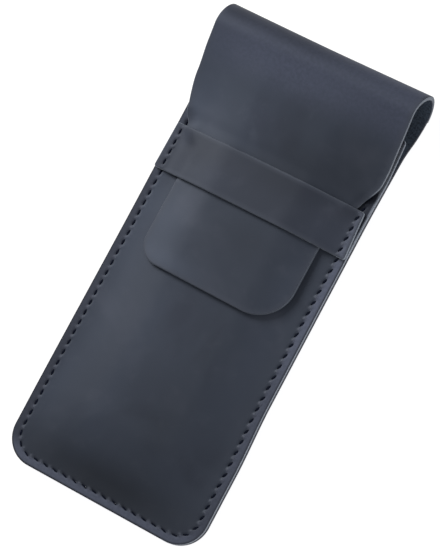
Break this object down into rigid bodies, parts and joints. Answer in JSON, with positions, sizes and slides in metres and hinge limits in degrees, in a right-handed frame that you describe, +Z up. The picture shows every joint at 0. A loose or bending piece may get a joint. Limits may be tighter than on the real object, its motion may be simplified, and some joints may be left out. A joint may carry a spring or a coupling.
{
  "type": "pen case",
  "caption": "Flat leather pen case: a stitched pouch, a rolled fold and a flap whose tongue tucks under a strap sewn across the front.",
  "frame": {"origin": "middle of the footprint, on the table the case lies on", "axes": "+X across the case to its right, +Y along it from the bottom edge to the fold, +Z up, out of the flap side"},
  "size_m": [0.073, 0.16, 0.0146],
  "materials": {
    "leather": "matt waxed pull-up leather, charcoal navy, lighter where it bends",
    "thread": "waxed twisted thread, near black"
  },
  "bodies": {
    "case_body": {"back_panel": "leather", "front_panel": "leather", "retaining_strap": "leather", "thread_left_top": "thread", "thread_left_strap": "thread", "thread_left_side": "thread", "thread_bottom": "thread", "thread_right_side": "thread", "thread_right_strap": "thread", "thread_right_top": "thread"},
    "fold_strip_1": {"fold_strip_1": "leather"},
    "fold_strip_2": {"fold_strip_2": "leather"},
    "fold_strip_3": {"fold_strip_3": "leather"},
    "flap": {"flap_cover": "leather", "flap_tongue": "leather"}
  },
  "joints": [
    {"name": "fold_bend_1", "type": "hinge", "parent": "case_body", "child": "fold_strip_1", "pos_m": [0, 0.07567, 0.00063], "axis": [-1, 0, 0], "range_deg": [0, 45]},
    {"name": "fold_bend_2", "type": "hinge", "parent": "fold_strip_1", "child": "fold_strip_2", "pos_m": [0, 0.07964, 0.00504], "axis": [-1, 0, 0], "range_deg": [0, 45]},
    {"name": "fold_bend_3", "type": "hinge", "parent": "fold_strip_2", "child": "fold_strip_3", "pos_m": [0, 0.07902, 0.01095], "axis": [-1, 0, 0], "range_deg": [0, 45]},
    {"name": "fold_bend_4", "type": "hinge", "parent": "fold_strip_3", "child": "flap", "pos_m": [0, 0.07422, 0.01444], "axis": [-1, 0, 0], "range_deg": [0, 45]}
  ],
  "couplings": [
    {"joint": "fold_bend_2", "follows": "fold_bend_1", "ratio": 1},
    {"joint": "fold_bend_3", "follows": "fold_bend_1", "ratio": 1},
    {"joint": "fold_bend_4", "follows": "fold_bend_1", "ratio": 1}
  ]
}
